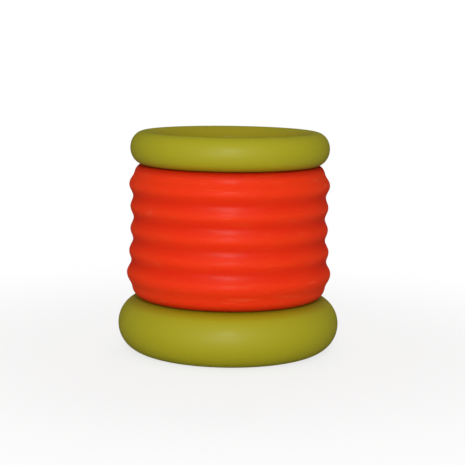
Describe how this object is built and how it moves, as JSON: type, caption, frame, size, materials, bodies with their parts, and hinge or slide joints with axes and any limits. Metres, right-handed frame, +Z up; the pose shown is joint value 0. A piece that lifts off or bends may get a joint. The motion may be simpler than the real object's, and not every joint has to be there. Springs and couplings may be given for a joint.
{
  "type": "stacking ring toy",
  "caption": "Loose stacking rings on one upright axis: a thick oval-section base ring, a tall ribbed and waisted sleeve, and a thin oval-section top ring.",
  "frame": {"origin": "on the axis of the stack, in the plane of the flat foot of the lower ring, so the toy stands on Z = 0", "axes": "+Z up along the common axis of all the rings; +X and +Y are free, because every ring is a body of revolution"},
  "size_m": [0.1102, 0.1102, 0.1092],
  "materials": {
    "olive": "satin",
    "orange_red": "satin"
  },
  "bodies": {
    "lower_ring": {"lower_ring": "olive"},
    "ribbed_sleeve": {"ribbed_sleeve": "orange_red"},
    "upper_ring": {"upper_ring": "olive"}
  },
  "joints": [
    {"name": "sleeve_lift", "type": "slide", "parent": "lower_ring", "child": "ribbed_sleeve", "axis": [0, 0, 1], "range_m": [0, 0.08]},
    {"name": "upper_ring_lift", "type": "slide", "parent": "ribbed_sleeve", "child": "upper_ring", "axis": [0, 0, 1], "range_m": [0, 0.05]}
  ]
}
